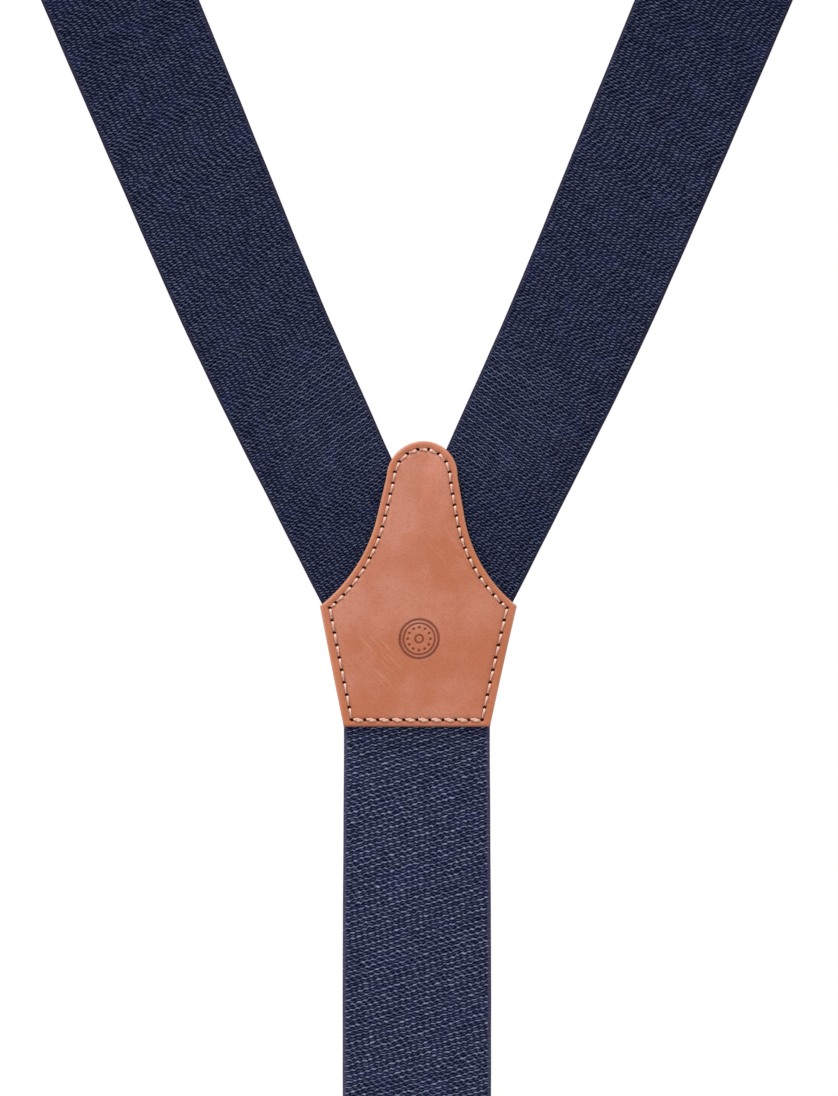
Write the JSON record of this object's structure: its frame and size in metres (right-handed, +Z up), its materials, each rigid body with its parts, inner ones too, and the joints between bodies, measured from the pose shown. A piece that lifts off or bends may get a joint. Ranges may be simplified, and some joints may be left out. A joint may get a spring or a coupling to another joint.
{
  "type": "suspenders",
  "caption": "Y-back clip-on suspenders: elastic webbing straps joined by a leather crosspatch, with slide adjusters and cam-lever clips.",
  "frame": {"origin": "midway between the wearer's shoulders, at the height of the straps' inner crest", "axes": "+Z up, +Y towards the wearer's front, +X towards the wearer's right"},
  "size_m": [0.3088, 0.2054, 0.5428],
  "materials": {
    "webbing": "navy elastic webbing with fine lighter dashes",
    "leather": "smooth tan leather, satin",
    "backing_leather": "tan split leather, matt",
    "thread": "cream thread",
    "strap_thread": "navy thread",
    "nickel": "nickel plate, satin",
    "grip": "black moulded plastic"
  },
  "bodies": {
    "harness": {"crosspatch_front_leather": "leather", "crosspatch_backing_leather": "backing_leather", "crosspatch_stitching": "thread", "left_front_strap": "webbing", "right_front_strap": "webbing", "rear_strap": "webbing", "rear_end_stitching": "strap_thread"},
    "left_hanger": {"left_strap_loop": "webbing"},
    "left_adjuster": {"left_adjuster_frame": "nickel", "left_adjuster_pin": "nickel", "left_end_stitching": "strap_thread"},
    "left_adjuster_lever": {"left_adjuster_lever": "nickel"},
    "left_clip": {"left_clip_back_plate": "nickel", "left_clip_pin": "nickel", "left_clip_grip": "grip"},
    "left_clip_lever": {"left_clip_lever": "nickel"},
    "right_hanger": {"right_strap_loop": "webbing"},
    "right_adjuster": {"right_adjuster_frame": "nickel", "right_adjuster_pin": "nickel", "right_end_stitching": "strap_thread"},
    "right_adjuster_lever": {"right_adjuster_lever": "nickel"},
    "right_clip": {"right_clip_back_plate": "nickel", "right_clip_pin": "nickel", "right_clip_grip": "grip"},
    "right_clip_lever": {"right_clip_lever": "nickel"},
    "rear_clip": {"rear_clip_back_plate": "nickel", "rear_clip_pin": "nickel", "rear_clip_grip": "grip"},
    "rear_clip_lever": {"rear_clip_lever": "nickel"}
  },
  "joints": [
    {"name": "left_length_slide", "type": "slide", "parent": "harness", "child": "left_hanger", "axis": [0, 0, 1], "range_m": [-0.07, 0.06], "deforming": ["left_strap_loop"]},
    {"name": "left_adjuster_slide", "type": "slide", "parent": "left_hanger", "child": "left_adjuster", "axis": [0, 0, 1], "range_m": [-0.07, 0.06]},
    {"name": "left_adjuster_lever_hinge", "type": "hinge", "parent": "left_adjuster", "child": "left_adjuster_lever", "pos_m": [-0.13351, 0.1003, -0.321], "axis": [1, 0, 0], "range_deg": [0, 95]},
    {"name": "left_clip_swivel", "type": "hinge", "parent": "left_hanger", "child": "left_clip", "pos_m": [-0.13351, 0.0935, -0.5], "axis": [1, 0, 0], "range_deg": [-45, 45]},
    {"name": "left_clip_lever_hinge", "type": "hinge", "parent": "left_clip", "child": "left_clip_lever", "pos_m": [-0.13351, 0.0987, -0.533], "axis": [-1, 0, 0], "range_deg": [0, 100]},
    {"name": "right_length_slide", "type": "slide", "parent": "harness", "child": "right_hanger", "axis": [0, 0, 1], "range_m": [-0.07, 0.06], "deforming": ["right_strap_loop"]},
    {"name": "right_adjuster_slide", "type": "slide", "parent": "right_hanger", "child": "right_adjuster", "axis": [0, 0, 1], "range_m": [-0.07, 0.06]},
    {"name": "right_adjuster_lever_hinge", "type": "hinge", "parent": "right_adjuster", "child": "right_adjuster_lever", "pos_m": [0.13351, 0.1003, -0.321], "axis": [1, 0, 0], "range_deg": [0, 95]},
    {"name": "right_clip_swivel", "type": "hinge", "parent": "right_hanger", "child": "right_clip", "pos_m": [0.13351, 0.0935, -0.5], "axis": [1, 0, 0], "range_deg": [-45, 45]},
    {"name": "right_clip_lever_hinge", "type": "hinge", "parent": "right_clip", "child": "right_clip_lever", "pos_m": [0.13351, 0.0987, -0.533], "axis": [-1, 0, 0], "range_deg": [0, 100]},
    {"name": "rear_clip_swivel", "type": "hinge", "parent": "harness", "child": "rear_clip", "pos_m": [0, -0.0935, -0.5], "axis": [1, 0, 0], "range_deg": [-45, 45]},
    {"name": "rear_clip_lever_hinge", "type": "hinge", "parent": "rear_clip", "child": "rear_clip_lever", "pos_m": [0, -0.0987, -0.533], "axis": [1, 0, 0], "range_deg": [0, 100]}
  ],
  "couplings": [
    {"joint": "left_adjuster_slide", "follows": "left_length_slide", "ratio": 1},
    {"joint": "right_adjuster_slide", "follows": "right_length_slide", "ratio": 1}
  ]
}
